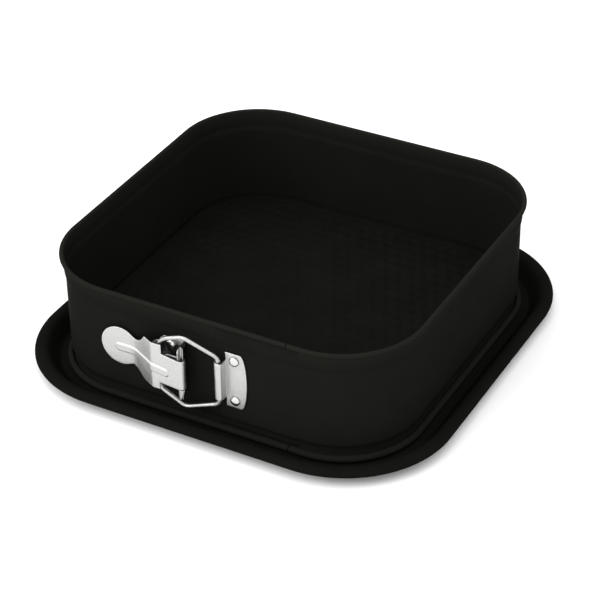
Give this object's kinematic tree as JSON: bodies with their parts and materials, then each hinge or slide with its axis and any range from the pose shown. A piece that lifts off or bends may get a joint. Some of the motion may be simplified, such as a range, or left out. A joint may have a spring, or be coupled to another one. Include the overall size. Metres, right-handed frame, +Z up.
{
  "type": "springform pan",
  "caption": "Square springform pan: a leak-proof base tray with a raised embossed floor, a coated steel ring, and an over-centre wire clasp that opens it.",
  "frame": {"origin": "on the table, under the middle of the base tray", "axes": "+Z up, the clasp is on the -Y wall, +X points from the clasp's lever to its catch"},
  "size_m": [0.2868, 0.2868, 0.0811],
  "materials": {
    "tray_coating": "dark non-stick coating, satin, over a finely dimpled pressing",
    "band_coating": "dark non-stick coating, satin",
    "zinc_sheet": "pressed zinc-plated sheet, satin",
    "zinc_wire": "zinc-plated wire, half bright",
    "rivet_steel": "domed rivet, half bright"
  },
  "bodies": {
    "base": {"base_tray": "tray_coating"},
    "ring_back": {"band_back": "band_coating"},
    "ring_left": {"band_left": "band_coating", "hinge_bracket": "zinc_sheet", "bracket_rivet_upper": "rivet_steel", "bracket_rivet_lower": "rivet_steel", "hinge_pin": "zinc_wire"},
    "ring_right": {"band_right": "band_coating", "catch_plate": "zinc_sheet", "catch_rivet_upper": "rivet_steel", "catch_rivet_lower": "rivet_steel"},
    "lever": {"clasp_lever": "zinc_sheet"},
    "loop": {"wire_loop": "zinc_wire"}
  },
  "joints": [
    {"name": "ring_lift", "type": "slide", "parent": "base", "child": "ring_back", "axis": [0, 0, 1], "range_m": [0, 0.1]},
    {"name": "band_left_open", "type": "slide", "parent": "ring_back", "child": "ring_left", "axis": [-1, 0, 0], "range_m": [0, 0.00427]},
    {"name": "band_right_open", "type": "slide", "parent": "ring_back", "child": "ring_right", "axis": [1, 0, 0], "range_m": [0, 0.00427]},
    {"name": "lever_swing", "type": "hinge", "parent": "ring_left", "child": "lever", "pos_m": [-0.0089, -0.13, 0.0424], "axis": [0, 0, 1], "range_deg": [0, 86]},
    {"name": "loop_swing", "type": "hinge", "parent": "ring_right", "child": "loop", "pos_m": [0.0146, -0.1259, 0.0424], "axis": [0, 0, 1], "range_deg": [0, 25.7]}
  ],
  "couplings": [
    {"joint": "band_left_open", "follows": "band_right_open", "ratio": 1},
    {"joint": "lever_swing", "follows": "band_right_open", "rad_per_m": 351},
    {"joint": "loop_swing", "follows": "band_right_open", "rad_per_m": 104.9}
  ]
}
